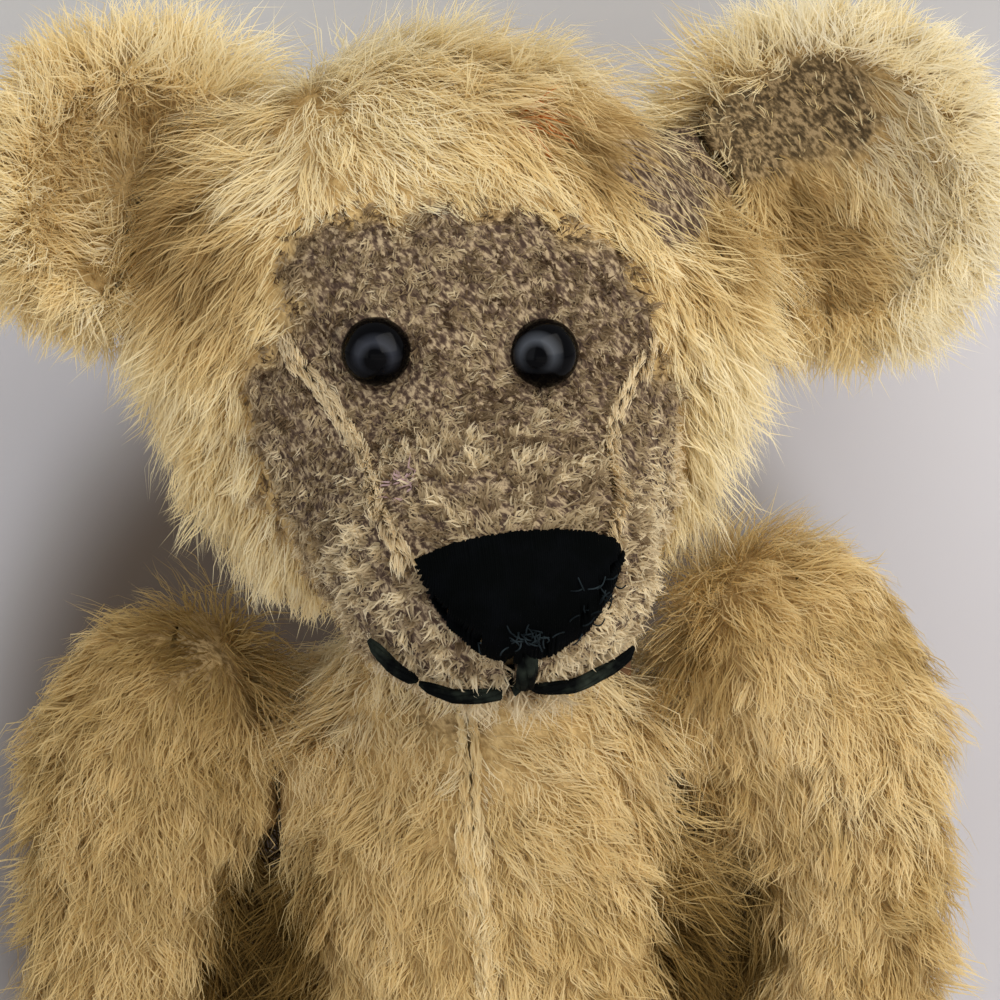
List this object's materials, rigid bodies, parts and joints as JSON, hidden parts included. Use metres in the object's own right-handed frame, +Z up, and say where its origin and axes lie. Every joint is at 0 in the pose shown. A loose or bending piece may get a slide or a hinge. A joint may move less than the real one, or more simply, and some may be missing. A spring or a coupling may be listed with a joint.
{
  "type": "jointed mohair teddy bear",
  "caption": "Small old mohair bear sitting upright, pile worn to the backing on its face; head, arms and legs turn on disc joints.",
  "frame": {"origin": "centre of the bear's footprint, on the surface it sits on", "axes": "+Z up, the bear faces -Y, its own left side at +X"},
  "size_m": [0.0982, 0.087, 0.1502],
  "materials": {
    "head_mohair": "matte",
    "body_mohair": "matte",
    "felt": "matte",
    "wood_wool": "matte",
    "eye_glass": "gloss",
    "black_thread": "satin",
    "hardboard": "matte",
    "steel": "satin"
  },
  "bodies": {
    "torso": {"body_left": "body_mohair", "body_right": "body_mohair", "body_stuffing": "wood_wool", "neck_inner_disc": "hardboard", "neck_inner_washer": "steel", "shoulder_left_inner_disc": "hardboard", "shoulder_left_inner_washer": "steel", "shoulder_right_inner_disc": "hardboard", "shoulder_right_inner_washer": "steel", "hip_left_inner_disc": "hardboard", "hip_left_inner_washer": "steel", "hip_right_inner_disc": "hardboard", "hip_right_inner_washer": "steel"},
    "head": {"head_gusset": "head_mohair", "side_head_left": "head_mohair", "side_head_right": "head_mohair", "head_stuffing": "wood_wool", "ear_front_left": "head_mohair", "ear_back_left": "head_mohair", "ear_front_right": "head_mohair", "ear_back_right": "head_mohair", "eye_left": "eye_glass", "eye_right": "eye_glass", "nose_stitching": "black_thread", "philtrum_stitch": "black_thread", "mouth_stitch_left": "black_thread", "mouth_stitch_right": "black_thread", "mouth_stitch_right_corner": "black_thread", "neck_outer_disc": "hardboard", "neck_outer_washer": "steel", "neck_cotter_pin": "steel"},
    "arm_left": {"arm_outer_left": "body_mohair", "arm_inner_left": "body_mohair", "paw_pad_left": "felt", "arm_stuffing_left": "wood_wool", "shoulder_left_outer_disc": "hardboard", "shoulder_left_outer_washer": "steel", "shoulder_left_cotter_pin": "steel"},
    "arm_right": {"arm_outer_right": "body_mohair", "arm_inner_right": "body_mohair", "paw_pad_right": "felt", "arm_stuffing_right": "wood_wool", "shoulder_right_outer_disc": "hardboard", "shoulder_right_outer_washer": "steel", "shoulder_right_cotter_pin": "steel"},
    "leg_left": {"leg_outer_left": "body_mohair", "leg_inner_left": "body_mohair", "foot_pad_left": "felt", "leg_stuffing_left": "wood_wool", "hip_left_outer_disc": "hardboard", "hip_left_outer_washer": "steel", "hip_left_cotter_pin": "steel"},
    "leg_right": {"leg_outer_right": "body_mohair", "leg_inner_right": "body_mohair", "foot_pad_right": "felt", "leg_stuffing_right": "wood_wool", "hip_right_outer_disc": "hardboard", "hip_right_outer_washer": "steel", "hip_right_cotter_pin": "steel"}
  },
  "joints": [
    {"name": "neck", "type": "hinge", "parent": "torso", "child": "head", "pos_m": [-0.00411, 0.0203, 0.094], "axis": [0, 0, 1], "range_deg": [-45, 30]},
    {"name": "shoulder_left", "type": "hinge", "parent": "torso", "child": "arm_left", "pos_m": [0.01509, 0.0203, 0.086], "axis": [1, 0, 0], "range_deg": [-85, 50]},
    {"name": "shoulder_right", "type": "hinge", "parent": "torso", "child": "arm_right", "pos_m": [-0.02251, 0.0203, 0.0795], "axis": [1, 0, 0], "range_deg": [-85, 50]},
    {"name": "hip_left", "type": "hinge", "parent": "torso", "child": "leg_left", "pos_m": [0.01829, 0.0213, 0.0125], "axis": [0.9877, 0.1564, 0], "range_deg": [-5, 95]},
    {"name": "hip_right", "type": "hinge", "parent": "torso", "child": "leg_right", "pos_m": [-0.01591, 0.0213, 0.0125], "axis": [0.9877, -0.1564, 0], "range_deg": [-5, 95]}
  ]
}
